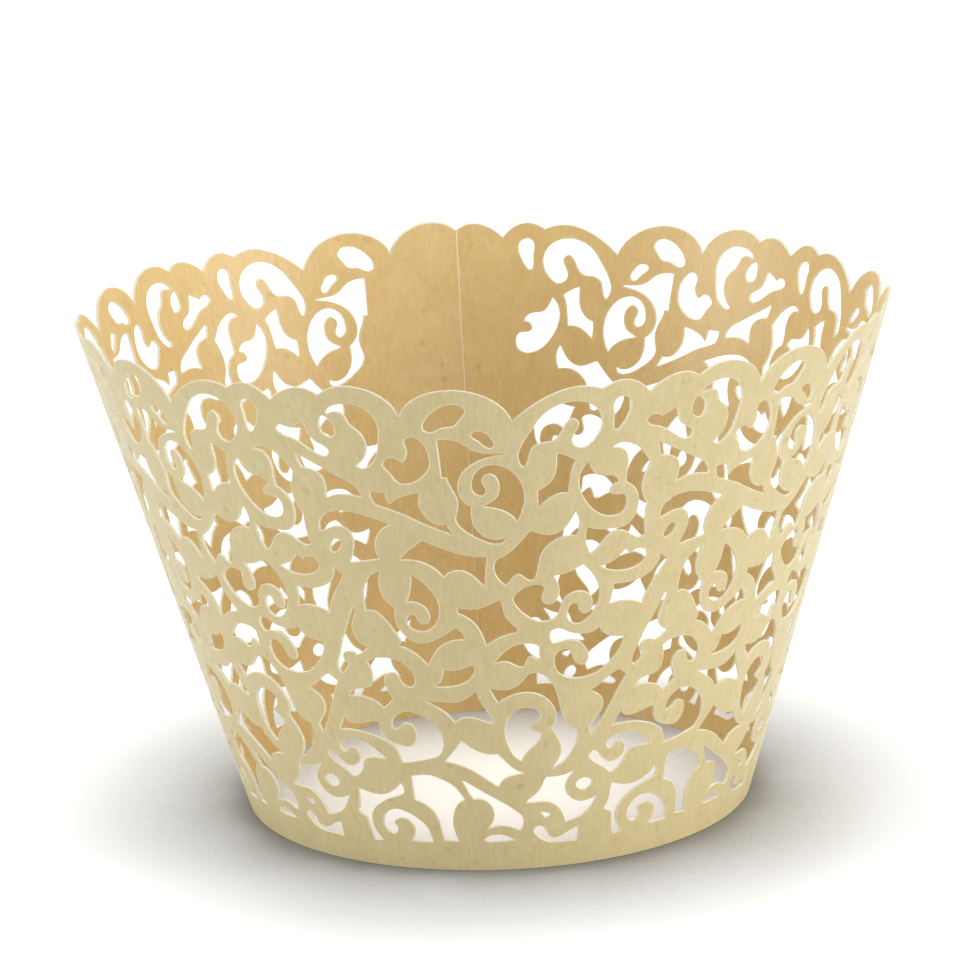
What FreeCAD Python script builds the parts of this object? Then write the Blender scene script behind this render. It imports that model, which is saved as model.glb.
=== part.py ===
import FreeCAD, Part
import math
import os
from FreeCAD import Vector

# Paper lace cupcake wrapper: one strip of thin card, cut with a scroll pattern
# and a scalloped top edge, bent to an open cone and glued where its ends lap.
# Front is -Y, the glued lap is at the back, and the foot stands on z = 0.

# ---- the cup, mm ----
BASE_DIAMETER = 50.0
TOP_DIAMETER = 79.1
HEIGHT = 50.0
CARD = 0.3
GLUE_GAP = 0.1
REPEATS = 7

# A curve is cut in short straight strokes.  They stay this near to the curve,
# and each turns by no more than STROKE_TURN from the one before.
GAP_TOLERANCE = 0.1
RIM_TOLERANCE = 0.06
STROKE_TURN = math.radians(45)

# ---- the flat drawing of one repeat, mm ----
# x runs along the strip and y up the slope from the foot.
# A line starts at its first point and bends through the others to the start
# of the next line.

# Scallops of the top edge.  Each starts in a valley.
SCALLOPS = {
    "wide": [(1.9, 48.3), (3.9, 50.2), (6.7, 51.3)],
    "small": [(8.5, 50.9), (10.4, 51.6)],
    "round": [(12.3, 50.1), (14.4, 51.6)],
    "long": [(16.3, 50.9), (19.2, 51.9)],
    "tall": [(22.3, 48.9), (23.5, 50.7), (26.1, 51.6), (28.8, 50.8)],
}
LAST_VALLEY = (30.62, 48.3)
STEP_SCALLOP = "round"
LAP_SCALLOP = "long"
BESIDE_LAP = "tall"
PLAIN_MARGIN = 1.0

# Gaps of the lace.
GAPS = {
    "foot door": [
        [(-9.5, 10.6), (-7.3, 10.7), (-5.2, 9.8)],
        [(-3.9, 8.0), (-5.3, 6.5), (-5.4, 4.6)],
        [(-5.0, 3.4)],
        [(-6.6, 3.4), (-7.0, 5.5), (-8.1, 7.3)],
        [(-9.5, 7.9)],
    ],
    "rose": [
        [(2.8, 7.5), (5.4, 7.4), (6.8, 6.4)],
        [(7.3, 5.0), (9.2, 5.6), (10.5, 6.8)],
        [(11.1, 7.6), (9.1, 7.1), (7.4, 8.2), (7.4, 9.8)],
        [(8.3, 10.9), (6.7, 10.3)],
        [(5.0, 10.3), (4.2, 8.7)],
    ],
    "fan": [
        [(-0.1, 9.5), (1.0, 10.6)],
        [(2.8, 10.9), (1.0, 11.8)],
        [(-0.1, 13.1), (-2.3, 13.6)],
        [(-3.8, 14.7), (-4.7, 13.4)],
        [(-5.6, 12.4), (-3.3, 11.6)],
    ],
    "big curl": [
        [(-16.8, 15.1)],
        [(-16.0, 16.6), (-15.0, 16.0), (-13.4, 16.3)],
        [(-12.1, 16.5), (-11.8, 15.0), (-10.2, 14.0), (-8.7, 14.3), (-8.4, 15.7), (-9.5, 16.5)],
        [(-10.6, 15.8), (-10.6, 16.7), (-9.2, 17.8), (-6.7, 16.8), (-5.7, 14.6)],
        [(-6.2, 13.1)],
        [(-10.3, 12.1), (-10.9, 13.8), (-12.9, 14.9)],
    ],
    "seed": [
        [(2.4, 12.2), (1.0, 14.2), (1.1, 17.0), (3.1, 18.1), (4.2, 16.9)],
        [(3.2, 16.0)],
        [(4.4, 14.9), (3.6, 13.7)],
    ],
    "long crescent": [
        [(-0.6, 20.4), (1.6, 20.3)],
        [(3.3, 21.8), (5.2, 20.7), (6.2, 18.0)],
        [(7.2, 15.7)],
        [(8.1, 15.4), (7.9, 13.3)],
        [(5.6, 11.1), (6.5, 13.1)],
        [(5.4, 15.7), (5.7, 17.6), (4.1, 19.5), (1.3, 19.5)],
        [(0.1, 18.8)],
    ],
    "pane": [
        [(-7.5, 19.3), (-4.9, 18.9), (-3.1, 19.2)],
        [(-2.0, 20.1), (-1.2, 18.1)],
        [(-0.3, 16.7), (-2.4, 17.2)],
        [(-4.2, 16.7), (-5.5, 18.1)],
    ],
    "bowl": [
        [(5.1, 25.4), (5.9, 26.4), (7.8, 25.7)],
        [(9.6, 26.1), (10.6, 25.1)],
        [(12.2, 24.8), (11.2, 22.5), (8.8, 21.0), (6.1, 21.5), (5.6, 23.4)],
        [(6.7, 24.0), (7.6, 22.5), (8.7, 22.6), (8.3, 24.3)],
        [(6.7, 25.1)],
    ],
    "star": [
        [(-3.2, 28.9), (-1.1, 29.0)],
        [(0.5, 29.9), (0.9, 28.2)],
        [(2.1, 26.5)],
        [(-0.7, 25.1), (-1.4, 27.1)],
    ],
    "kite": [
        [(10.6, 30.5), (12.9, 30.7)],
        [(14.8, 33.1)],
        [(15.7, 32.3)],
        [(13.7, 28.1), (12.2, 28.7)],
        [(10.4, 28.5)],
    ],
    "sickle": [
        [(-9.6, 32.9), (-9.9, 31.0)],
        [(-8.7, 28.8), (-8.6, 26.8), (-6.8, 25.3)],
        [(-3.4, 27.0)],
        [(-2.6, 25.7), (-4.9, 25.0)],
        [(-6.3, 23.0), (-7.5, 24.4)],
        [(-8.8, 25.0), (-9.6, 27.6)],
        [(-11.4, 28.6), (-11.2, 31.2)],
    ],
    "bulb": [
        [(1.7, 29.8), (2.6, 31.0)],
        [(4.4, 30.9), (4.6, 29.2), (5.7, 29.7)],
        [(5.3, 32.0)],
        [(7.8, 33.0), (9.4, 30.1), (8.3, 27.1), (6.7, 27.4), (7.1, 28.9)],
        [(8.1, 27.8), (8.8, 28.8), (7.8, 30.2), (6.2, 29.5)],
        [(5.6, 27.8), (3.6, 27.6)],
    ],
    "bridge": [
        [(-7.7, 34.2)],
        [(-5.6, 36.3), (-3.2, 35.1)],
        [(-0.3, 34.5)],
        [(-0.6, 31.4), (-2.5, 33.1)],
        [(-4.1, 32.5), (-5.9, 34.0)],
    ],
    "tee": [
        [(-14.3, 36.9), (-13.5, 38.7), (-10.7, 38.9)],
        [(-8.1, 37.9), (-9.6, 36.2)],
        [(-9.5, 34.2)],
        [(-12.1, 33.7), (-11.5, 36.2), (-12.8, 37.5)],
    ],
    "butterfly": [
        [(3.2, 36.9), (5.3, 36.5)],
        [(7.0, 38.5)],
        [(7.0, 36.1), (4.9, 35.5), (3.9, 33.6)],
        [(3.6, 31.9), (2.3, 32.5)],
        [(1.1, 31.4), (0.2, 33.0)],
        [(0.5, 34.2), (2.2, 35.5)],
    ],
    "bud": [
        [(7.8, 43.6), (8.6, 42.2)],
        [(10.2, 41.6), (9.7, 40.4), (11.0, 39.8), (11.1, 38.4), (9.3, 38.0), (7.4, 40.2)],
        [(7.1, 42.3)],
    ],
    "rim hook": [
        [(2.7, 43.6), (2.5, 45.4), (4.2, 48.7), (6.4, 49.9), (8.5, 48.4), (8.2, 45.9)],
        [(7.2, 45.1), (6.7, 46.4)],
        [(6.6, 48.1), (5.5, 46.7), (3.4, 45.5)],
    ],
    "rim leaf": [
        [(-10.1, 43.7), (-8.5, 45.1), (-8.1, 47.8), (-9.5, 50.0), (-11.9, 49.3)],
        [(-10.4, 48.3), (-9.3, 46.3)],
    ],
}

# ---- values that follow ----
BASE_RADIUS = BASE_DIAMETER / 2
TOP_RADIUS = TOP_DIAMETER / 2
LEAN = math.atan((TOP_RADIUS - BASE_RADIUS) / HEIGHT)
VALLEYS = [line[0] for line in SCALLOPS.values()] + [LAST_VALLEY]
REPEAT_WIDTH = LAST_VALLEY[0] - VALLEYS[0][0]
DRAWN_TOP = max(y for line in SCALLOPS.values() for x, y in line)
SLOPE_SCALE = HEIGHT / math.cos(LEAN) / DRAWN_TOP
TURN_PER_X = 2 * math.pi / REPEATS / REPEAT_WIDTH
LAP_LIFT = CARD + GLUE_GAP
BACK_REPEAT = REPEATS // 2
CONE_EDGE_LIMIT = 1e6
CURVE_STEPS = 60
Point2d = FreeCAD.Base.Vector2d


def shifted(points, repeat):
    return [(x + repeat * REPEAT_WIDTH, y) for x, y in points]


def card_cone(offset):
    """The endless cone of one card face, moved out by offset across the card."""
    radial = offset / math.cos(LEAN)
    foot = Vector(0, 0, 0)
    top = Vector(0, 0, HEIGHT)
    return Part.Cone(foot, top, BASE_RADIUS + radial, TOP_RADIUS + radial)


def strokes(points, tolerance):
    """The straight strokes, as pairs of ends, that cut a smooth curve through drawn points."""
    if len(points) == 2:
        return [points]
    curve = Part.Geom2d.BSplineCurve2d()
    curve.interpolate([Point2d(x, y) for x, y in points])
    first = curve.FirstParameter
    step = (curve.LastParameter - first) / CURVE_STEPS
    places = [curve.value(first + step * k) for k in range(CURVE_STEPS + 1)]
    fine = [Vector(place.x, place.y, 0) for place in places]
    # A chord of length c on a radius r lies c * c / (8 * r) from its arc.
    needed = [0]
    for before, here, after in zip(fine, fine[1:], fine[2:]):
        near = here - before
        far = after - here
        turn = near.getAngle(far)
        length = (near.Length + far.Length) / 2
        share = math.sqrt(turn * length / (8 * tolerance))
        needed.append(needed[-1] + max(share, turn / STROKE_TURN))
    needed.append(needed[-1])
    count = max(1, math.ceil(needed[-1]))
    ends = [points[0]]
    for number in range(1, count):
        wanted = needed[-1] * number / count
        reached = next(place for place, value in zip(fine, needed) if value >= wanted)
        ends.append((reached.x, reached.y))
    ends.append(points[-1])
    return list(zip(ends, ends[1:]))


def turned_area(points):
    """The area inside drawn points, positive where they run anticlockwise."""
    ahead = points[1:] + points[:1]
    return sum(a[0] * b[1] - b[0] * a[1] for a, b in zip(points, ahead)) / 2


def gap_runs(sides):
    """The sides of a gap as runs of points, ordered clockwise."""
    runs = []
    for number, side in enumerate(sides):
        following = sides[(number + 1) % len(sides)]
        runs.append(side + following[:1])
    drawn = [point for side in sides for point in side]
    if turned_area(drawn) > 0:
        runs = [run[::-1] for run in reversed(runs)]
    return runs


def lace_gaps(first, last):
    """The gaps of every repeat that lie wholly between two drawn x values."""
    gaps = []
    for repeat in range(-REPEATS, REPEATS):
        for sides in GAPS.values():
            placed = [shifted(side, repeat) for side in sides]
            across = [x for side in placed for x, y in side]
            if first < min(across) and max(across) < last:
                gaps.append(gap_runs(placed))
    return gaps


def rim_runs(first, last):
    """The scallops of the top edge between two drawn x values, from left to right."""
    runs = []
    for repeat in range(-REPEATS, REPEATS):
        for scallop, end in zip(SCALLOPS.values(), VALLEYS[1:]):
            run = shifted(scallop + [end], repeat)
            middle = (run[0][0] + run[-1][0]) / 2
            if first < middle < last:
                runs.append(run)
    return runs


def valley_at_back(name):
    """The drawn x of the valley where a scallop starts, at the back of the cup."""
    return SCALLOPS[name][0][0] + BACK_REPEAT * REPEAT_WIDTH


def card_point(x, y, offset):
    """The place of a drawn point, moved out by offset across the card."""
    turn = x * TURN_PER_X
    height = y * SLOPE_SCALE * math.cos(LEAN)
    radius = BASE_RADIUS + height * math.tan(LEAN) + offset / math.cos(LEAN)
    return Vector(radius * math.sin(turn), -radius * math.cos(turn), height)


def stroke_edge(stroke, cone):
    """One stroke, laid on a cone."""
    ends = [Point2d(x * TURN_PER_X, y * SLOPE_SCALE) for x, y in stroke]
    return Part.Geom2d.Line2dSegment(*ends).toShape(cone)


def cut_wall(front, back):
    """The cut face between an edge on the front of the card and one on its back."""
    return Part.makeRuledSurface(front, back)


def foot_wall(front, back):
    """The level face that the card stands on."""
    left = Part.makeLine(front.valueAt(front.FirstParameter), back.valueAt(back.FirstParameter))
    right = Part.makeLine(front.valueAt(front.LastParameter), back.valueAt(back.LastParameter))
    return Part.Face(Part.Wire([front, right, back, left]))


def bounded_face(surface, wires):
    """A face inside its first wire and outside the others."""
    face = Part.Face(surface, wires)
    endless = [wire for wire in face.Wires if wire.Length > CONE_EDGE_LIMIT]
    return face.removeShape(endless)


def cone_sheet(first, last, lift, gaps, open_side):
    """Both faces of a stretch of card, with its gaps and the walls between.

    The wall is left out on the side where another stretch joins on.
    """
    front = card_cone(lift)
    back = card_cone(lift - CARD)
    rim = rim_runs(first, last)
    foot = [(first, 0), (last, 0)]
    sides = {"left": [rim[0][0], foot[0]], "right": [foot[1], rim[-1][-1]]}
    top = [run[::-1] for run in reversed(rim)]
    outline = [foot, sides["right"]] + top + [sides["left"]]
    faces = []
    front_wires = []
    back_wires = []
    for ring in [outline] + gaps:
        tolerance = RIM_TOLERANCE if ring is outline else GAP_TOLERANCE
        front_edges = []
        back_edges = []
        for run in ring:
            for stroke in strokes(run, tolerance):
                front_edges.append(stroke_edge(stroke, front))
                back_edges.append(stroke_edge(stroke, back))
                if run is foot:
                    faces.append(foot_wall(front_edges[-1], back_edges[-1]))
                elif run is not sides[open_side]:
                    faces.append(cut_wall(front_edges[-1], back_edges[-1]))
        front_wires.append(Part.Wire(front_edges))
        back_wires.append(Part.Wire(back_edges))
    faces.append(bounded_face(front, front_wires))
    faces.append(bounded_face(back, back_wires))
    return faces


def step_sheet(run):
    """The narrow strip where the card steps out to lie over its other end."""
    edges = {}
    for side, offset in (("front", 0), ("back", -CARD)):
        for end, lift in ((run[0], 0), (run[-1], LAP_LIFT)):
            foot = card_point(end[0], 0, offset + lift)
            top = card_point(end[0], end[1], offset + lift)
            edges[side, lift] = (foot, top)
    faces = []
    for side in ("front", "back"):
        near = Part.makeLine(*edges[side, 0])
        far = Part.makeLine(*edges[side, LAP_LIFT])
        faces.append(Part.makeRuledSurface(near, far))
    for level, wall in ((0, foot_wall), (1, cut_wall)):
        front = Part.makeLine(edges["front", 0][level], edges["front", LAP_LIFT][level])
        back = Part.makeLine(edges["back", 0][level], edges["back", LAP_LIFT][level])
        faces.append(wall(front, back))
    return faces


step_start = valley_at_back(STEP_SCALLOP)
lap_start = valley_at_back(LAP_SCALLOP)
lap_end = valley_at_back(BESIDE_LAP)
full_turn = REPEATS * REPEAT_WIDTH
under_start = lap_start - full_turn
under_end = lap_end - full_turn

gaps = lace_gaps(under_end + PLAIN_MARGIN, step_start - PLAIN_MARGIN)
faces = cone_sheet(under_start, step_start, 0, gaps, "right")
faces += step_sheet(rim_runs(step_start, lap_start)[0])
faces += cone_sheet(lap_start, lap_end, LAP_LIFT, [], "left")
card = Part.makeCompound(faces)
card.sewShape()
wrapper = Part.Solid(card.Shells[0])
if wrapper.Volume < 0:
    wrapper.reverse()

os.makedirs("parts", exist_ok=True)
wrapper.exportStep("parts/wrapper.step")
print("valid:", wrapper.isValid(), "shells:", len(card.Shells), "gaps:", len(gaps))
print("mm3:", round(wrapper.Volume, 1), wrapper.BoundBox)
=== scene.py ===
import math

import bpy
import numpy as np
from mathutils import Matrix, Vector
from mathutils.geometry import delaunay_2d_cdt


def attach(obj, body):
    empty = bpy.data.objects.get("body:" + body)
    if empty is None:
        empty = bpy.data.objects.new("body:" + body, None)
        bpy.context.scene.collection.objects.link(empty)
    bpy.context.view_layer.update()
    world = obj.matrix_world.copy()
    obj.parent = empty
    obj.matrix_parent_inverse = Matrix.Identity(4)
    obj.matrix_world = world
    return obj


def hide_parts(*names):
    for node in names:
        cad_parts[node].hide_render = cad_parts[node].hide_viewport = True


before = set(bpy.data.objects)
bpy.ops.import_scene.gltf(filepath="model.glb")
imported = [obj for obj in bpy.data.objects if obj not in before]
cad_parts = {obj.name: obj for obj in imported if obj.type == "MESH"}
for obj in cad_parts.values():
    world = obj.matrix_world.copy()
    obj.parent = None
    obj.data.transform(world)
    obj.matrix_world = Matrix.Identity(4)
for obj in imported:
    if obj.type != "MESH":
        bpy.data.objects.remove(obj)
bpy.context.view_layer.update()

# A paper lace cupcake wrapper: one strip of pearl card with a cut scroll
# pattern, bent to an open cone and glued where its ends lap, at the back.
# The outlines are drawn flat, in mm: x along the strip, y up the slope.

# ---- the wrapper, mm, as in the part ----
BASE_RADIUS = 25.0
TOP_RADIUS = 39.55
HEIGHT = 50.0
CARD = 0.3
GLUE_GAP = 0.1
REPEATS = 7

# One mm in metres.
MM = 0.001

# ---- the flat drawing, mm ----
# One repeat's width, the full height up the slope, and the plain card between
# the lace and the lap.
REPEAT_WIDTH = 28.72
DRAWN_SLOPE = 51.9
PLAIN_MARGIN = 1.0

# ---- the cut edge, mm ----
# A wall with a small shoulder to each face, smooth where it turns by less than
# SMOOTH_WALL.
SHOULDER_WIDTH = 0.08
SHOULDER_DEPTH = 0.06
SMOOTH_WALL = math.radians(32)

# ---- how finely the drawing is divided, mm ----
# A drawn line is cut into steps no longer than LINE_STEP that turn by no more
# than TURN_STEP, and the foot and the ends into steps of their own.
LINE_STEP = 0.4
TURN_STEP = math.radians(12)
FOOT_STEP = 0.8
END_STEP = 1.0

# Points between the outlines lie on a grid, up to GRID_TOP and this far from
# the strip's ends and from any outline.
GRID = 1.2
GRID_TOP = 50.0
END_CLEARANCE = 0.4
LINE_CLEARANCE = 0.5

# Points nearer than this are one to delaunay_2d_cdt, and this output of it
# has only the triangles inside the strip.
SAME_POINT = 1e-5
TRIANGLES_INSIDE = 1

# The card's lean outward, the stretch of the drawing up the slope and the turn
# round the axis for each mm along the strip.
LEAN = math.atan((TOP_RADIUS - BASE_RADIUS) / HEIGHT)
SLOPE_SCALE = HEIGHT / math.cos(LEAN) / DRAWN_SLOPE
TURN_PER_X = 2 * math.pi / REPEATS / REPEAT_WIDTH

# ---- the top edge of one repeat ----
# A scallop starts in a valley and rises through the other points to the
# valley where the next one starts.
SCALLOPS = {
    "wide": [(1.9, 48.3), (4.2, 50.4), (6.7, 51.35)],
    "small": [(8.55, 50.9), (10.1, 51.6)],
    "round": [(12.3, 50.1), (13.2, 51.0), (14.6, 51.6)],
    "long": [(16.3, 50.95), (18.9, 51.95), (21.3, 50.8)],
    "tall": [(22.3, 48.9), (23.2, 50.5), (25.8, 51.6), (28.6, 50.9)],
}

# At the back, the step out starts where the first of these does, the lap with
# the second, and the strip ends where the third would start.
STEP_SCALLOP = "round"
LAP_SCALLOP = "long"
BESIDE_LAP = "tall"

# ---- the gaps of one repeat ----
# A gap is a ring of sides.  A side starts at its first point and bends
# through the others to the start of the next side.  One side alone is closed.
GAPS = {
    "lens": [
        [(-2, 3.6), (-1.2, 3.98), (0, 4), (0.9, 3.72)],
        [(1.5, 3.38), (0.6, 3.33), (-0.8, 3.3), (-1.6, 3.33)],
    ],
    "wave": [
        [(8.95, 4.3), (8, 4), (7, 3.5), (6.2, 3.32), (5.55, 3.5), (5.2, 4.1), (4.7, 4.65),
         (4.1, 4.78), (3.72, 4.4), (4, 3.8), (4.6, 3.3), (5.4, 2.95), (7, 2.82)],
        [(8.9, 2.7)],
    ],
    "eye": [
        [(4.5, 6.32), (5.1, 6.25), (5.6, 6), (5.1, 5.72), (4.75, 6)],
    ],
    "foot_curl": [
        [(-8.12, 3.2)],
        [(-10.75, 3.2), (-10.2, 3.85), (-10.05, 4.6), (-10.5, 5.4), (-11.5, 5.75), (-12.2, 5.5)],
        [(-12.5, 5), (-12.15, 4.4), (-12.6, 3.92), (-13.4, 4.1), (-13.8, 4.9), (-13.4, 5.95),
         (-12.3, 6.65), (-11, 6.55), (-9.8, 5.95), (-8.8, 5.15), (-8.3, 4.2)],
    ],
    "foot_leaf": [
        [(-16.2, 8.65), (-15.2, 8.38), (-14, 8.2), (-12.8, 8.35), (-11.7, 8.9)],
        [(-11, 9.7), (-10.68, 9.3)],
        [(-10.75, 8.6), (-11.3, 8.32), (-12.5, 7.92), (-14, 7.1), (-15, 6.1), (-15.28, 4.9),
         (-15, 3.95)],
        [(-14.3, 3)],
        [(-15.4, 2.9), (-15.65, 3.8), (-15.8, 4.9)],
        [(-15.95, 5.45)],
        [(-16.85, 5.95), (-16.45, 6.8), (-16.3, 7.7)],
    ],
    "foot_door": [
        [(-9.55, 10.62), (-8.5, 10.75), (-7.3, 10.73), (-6.2, 10.3), (-5.2, 9.75), (-4.5, 9)],
        [(-3.95, 8.05), (-4.8, 7.55), (-5.35, 6.4), (-5.5, 5.2), (-5.35, 4.3)],
        [(-4.98, 3.35)],
        [(-6.65, 3.45), (-6.85, 4.5), (-7.05, 5.6), (-7.5, 6.65), (-8.3, 7.4)],
        [(-9.52, 7.92)],
    ],
    "foot_wedge": [
        [(-4.05, 10.3), (-2.9, 9.6), (-1.5, 8.7), (0, 7.8), (1.2, 7)],
        [(2.25, 6.15), (2.5, 5.5)],
        [(2.15, 4.45), (1.2, 4.88), (0.1, 5.1), (-0.9, 4.95)],
        [(-1.75, 4.55), (-1, 5.4), (-0.7, 6.3), (-0.95, 7.3), (-1.7, 8)],
        [(-2.9, 8.1), (-3.4, 8.95)],
    ],
    "rose": [
        [(2.8, 7.55), (4.2, 7.55), (5.4, 7.45), (6.4, 6.85), (7, 6)],
        [(7.35, 5), (8.6, 5.3), (9.9, 6), (10.6, 6.9)],
        [(11.15, 7.65), (10.2, 7.25), (9.1, 7.12), (8, 7.5), (7.3, 8.3), (7.2, 9.3), (7.7, 10.2)],
        [(8.35, 10.9), (7.3, 10.42), (6.1, 10.22)],
        [(5, 10.25), (4.6, 9.4), (4.1, 8.6), (3.4, 8.05)],
    ],
    "rose_eye": [
        [(8.35, 9.1), (8.65, 9.55), (9.3, 9.72), (9.9, 9.5), (10.15, 9.1), (9.8, 8.62),
         (9.2, 8.45), (8.6, 8.7)],
    ],
    "fan": [
        [(-0.15, 9.48), (0.4, 10.3), (1.4, 10.7)],
        [(2.8, 10.88), (1.6, 11.35), (0.7, 12.2)],
        [(-0.15, 13.15), (-1.4, 13.2), (-2.6, 13.75)],
        [(-3.8, 14.72), (-4.3, 13.9), (-4.9, 13.2)],
        [(-5.6, 12.35), (-4.4, 12.1), (-3, 11.5), (-1.5, 10.5)],
    ],
    "big_curl": [
        [(-16.85, 15.15), (-16.4, 15.95)],
        [(-16, 16.65), (-15.6, 16.12), (-14.6, 16.02), (-13.4, 16.3)],
        [(-12.15, 16.5), (-12.1, 15.5), (-11.5, 14.55), (-10.2, 14), (-9, 14), (-8.4, 14.7),
         (-8.3, 15.6), (-8.8, 16.4), (-9.5, 16.5), (-10.1, 15.95), (-10.6, 15.8),
         (-10.75, 16.3), (-10.2, 17.25), (-9.2, 17.78), (-7.9, 17.55), (-6.7, 16.8),
         (-5.85, 15.6), (-5.65, 14.3), (-6.2, 13.1)],
        [(-6.9, 12.78), (-8.4, 12.4)],
        [(-10.3, 12.08), (-10.5, 13)],
        [(-10.85, 13.75), (-12, 14.5), (-13.6, 15.05), (-15.2, 15.28)],
    ],
    "hook_curl": [
        [(10, 12.65), (9.62, 12.1), (10.2, 11.4), (11.2, 10.75)],
        [(12.1, 10), (12.7, 10.1), (13.4, 10.7)],
        [(13.7, 11.1), (14, 11.9), (14.8, 12.38), (15.8, 12.42)],
        [(16.75, 12.35), (15.8, 13.1), (14.7, 13.9), (13.3, 14.22), (12, 13.85), (11.45, 13.1),
         (11.85, 12.65), (12.5, 13.2), (13.1, 13.3), (13.55, 12.8), (13.45, 11.8),
         (12.8, 11.25), (12, 11.12), (11.2, 11.6), (10.6, 12.35)],
    ],
    "pane": [
        [(-7.5, 19.35), (-6.2, 19), (-4.9, 18.92), (-3.6, 19), (-2.7, 19.5)],
        [(-1.98, 20.1), (-1.6, 18.95), (-1, 17.85)],
        [(-0.25, 16.7)],
        [(-0.65, 16.6), (-1.8, 17.05), (-2.9, 17.3), (-3.7, 17.1)],
        [(-4.22, 16.68), (-5.1, 17.8), (-6.3, 18.65)],
    ],
    "bean": [
        [(2.42, 12.25), (1.5, 13.05), (0.95, 14.3), (0.75, 15.8), (1.2, 17.2), (2.3, 18.02),
         (3.6, 17.9), (4.25, 17.2), (3.85, 16.4)],
        [(3.15, 16.05), (3.5, 15.6), (4, 15.4)],
        [(4.42, 14.95), (3.7, 13.9), (2.85, 13.1)],
    ],
    "long_crescent": [
        [(-0.6, 20.4), (0.6, 20.15), (1.6, 20.3), (2.5, 21), (3.3, 21.82), (4.2, 21.7),
         (5.2, 20.75), (5.8, 19.5), (6.2, 18), (6.7, 16.4), (7.2, 15.72)],
        [(8.15, 15.4), (8.2, 14.3), (7.75, 13), (6.9, 11.9)],
        [(5.6, 11.15), (6.2, 12), (6.55, 13.1), (6.3, 14.2)],
        [(5.45, 15.7), (5.85, 16.5), (5.85, 17.4), (5.3, 18.5), (4.1, 19.5), (2.7, 19.8),
         (1.3, 19.5)],
        [(0.15, 18.8), (-0.25, 19.5)],
    ],
    "stem_wedge": [
        [(9.2, 19.4), (10.3, 20.05), (11.2, 20.8)],
        [(12, 21.25)],
        [(12.88, 20.55), (12, 18.9), (11.2, 17.1), (10.5, 15.8)],
        [(9.65, 14.38)],
        [(9.35, 15.35), (10.1, 16.3), (10.6, 17.2), (10.6, 18.2), (10.1, 18.85)],
    ],
    "hood": [
        [(-14.9, 19.05), (-14.3, 19.75), (-13.2, 20.05), (-12.3, 20.4), (-12, 21.3), (-12, 22.2)],
        [(-12.25, 23), (-11.4, 23.48), (-10.3, 23.58), (-9, 23.25), (-8.1, 22.4),
         (-7.72, 21.4), (-8.1, 20.6), (-8.7, 20.6), (-9.15, 21.2), (-9.5, 21.9),
         (-10.1, 22.03), (-10.7, 21.6), (-10.85, 20.8), (-10.6, 19.9)],
        [(-10.3, 19.1), (-10.8, 18.55)],
        [(-11.4, 18.08), (-12.3, 18.85), (-13.4, 19.18)],
    ],
    "leaf_pane": [
        [(-4.9, 22.52), (-3.9, 22.38), (-2.9, 22.65)],
        [(-2.05, 23), (-2.05, 22.2), (-2.7, 21.25), (-3.9, 20.75), (-5.2, 20.62)],
        [(-6, 20.72)],
        [(-5.3, 21.05), (-5.05, 21.7)],
    ],
    "blade": [
        [(-12.65, 28.95), (-12.55, 28.5), (-12.95, 27.5), (-13.2, 26.3), (-12.75, 25.15)],
        [(-11.85, 24.65), (-12.5, 24.15)],
        [(-13.15, 23.72), (-13.9, 24.05), (-14.6, 23.75), (-14.65, 23.1)],
        [(-14.35, 22.7), (-14.75, 21.85), (-15.2, 21.6), (-15.45, 22.2), (-15.1, 23.3),
         (-14.5, 24.9), (-13.8, 26.4), (-13.2, 27.8)],
    ],
    "bowl": [
        [(5.5, 24.88), (5.08, 25.6), (5.25, 26.25), (5.9, 26.42), (6.7, 26), (7.8, 25.65),
         (8.8, 25.65)],
        [(9.65, 26.15), (10.2, 25.35), (11, 24.95)],
        [(12.2, 24.78), (11.9, 23.6), (11, 22.3), (9.8, 21.3), (8.3, 20.92), (6.8, 21.1),
         (5.8, 21.95), (5.52, 23.1), (5.9, 23.95), (6.75, 24.05), (7.25, 23.3), (7.75, 22.42),
         (8.35, 22.25), (8.8, 22.9), (8.55, 23.95), (7.8, 24.85), (6.7, 25.12)],
    ],
    "little_arch": [
        [(-0.25, 23.08), (0.5, 23.85), (1.5, 24.78), (2.5, 25.05), (3.6, 24.92)],
        [(4.1, 24.6), (4.1, 23.8)],
        [(4.25, 22.95), (3.75, 23.4), (3.2, 23.65), (2.88, 23.2)],
        [(2.62, 22.6), (1.9, 22.78), (1, 23.25), (0.3, 23.22)],
    ],
    "star": [
        [(-3.15, 29.12), (-2.2, 28.98), (-1.1, 29.05), (-0.2, 29.45)],
        [(0.55, 29.9), (0.78, 29.1), (0.95, 28.2), (1.45, 27.4)],
        [(2.15, 26.6)],
        [(2, 26.3), (0.9, 26.05), (0, 25.6)],
        [(-0.72, 25.08), (-1, 26), (-1.45, 27.1), (-2.2, 28)],
        [(-3.1, 28.55)],
    ],
    "sickle": [
        [(-9.6, 32.9), (-9.85, 32), (-9.88, 31), (-9.55, 29.9), (-8.95, 29.15)],
        [(-8.75, 28.8), (-8.85, 27.9), (-8.6, 26.8), (-7.9, 25.8), (-6.8, 25.3), (-5.8, 25.5),
         (-4.6, 26.15)],
        [(-3.45, 27.05), (-2.95, 26.5)],
        [(-2.6, 25.72), (-3.7, 25.68), (-5, 25), (-5.7, 24.1)],
        [(-6.3, 23.02), (-7, 23.85), (-7.9, 24.6)],
        [(-8.85, 24.98), (-8.6, 25.5)],
        [(-8.75, 26), (-9.3, 27), (-9.9, 27.95), (-10.6, 28.6)],
        [(-11.45, 28.6), (-11.5, 29.6), (-11.35, 30.8), (-10.9, 31.9), (-10.3, 32.6)],
    ],
    "comma": [
        [(-6.9, 32.62), (-6.1, 32), (-5.4, 31.1), (-4.85, 29.9), (-4.75, 28.8), (-5.2, 27.5),
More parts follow.
